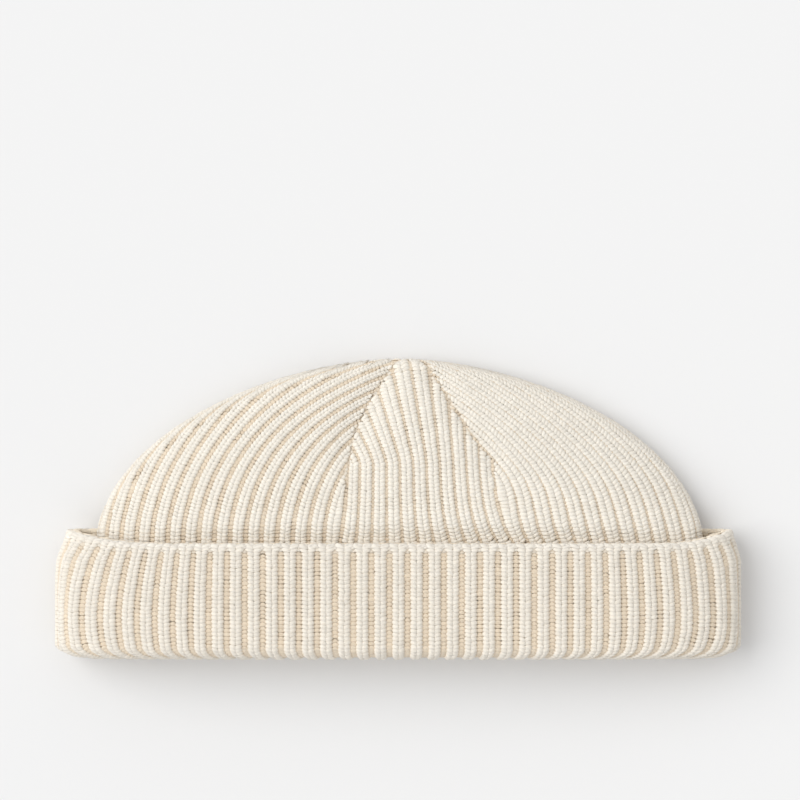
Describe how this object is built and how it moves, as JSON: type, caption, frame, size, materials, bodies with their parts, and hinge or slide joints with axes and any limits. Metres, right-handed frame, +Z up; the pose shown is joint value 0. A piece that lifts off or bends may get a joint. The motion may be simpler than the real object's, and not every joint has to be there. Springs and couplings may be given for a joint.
{
  "type": "fisherman beanie",
  "caption": "Short chunky rib-knit beanie with a turned-up cuff and darts at the top of the crown, lying flat on its back.",
  "frame": {"origin": "middle of the footprint, on the surface that the hat lies on", "axes": "X across the hat from its left fold to its right one as seen from above, Y from the hem to the tip of the crown, Z up through the front of the hat"},
  "size_m": [0.2602, 0.1142, 0.0288],
  "materials": {
    "crown_knit": "cream wool rib knit, matt and softly fuzzy",
    "cuff_knit": "cream wool rib knit, matt and softly fuzzy, opened a little wider than the crown's"
  },
  "bodies": {
    "root": {"crown": "crown_knit", "cuff": "cuff_knit"}
  },
  "joints": []
}
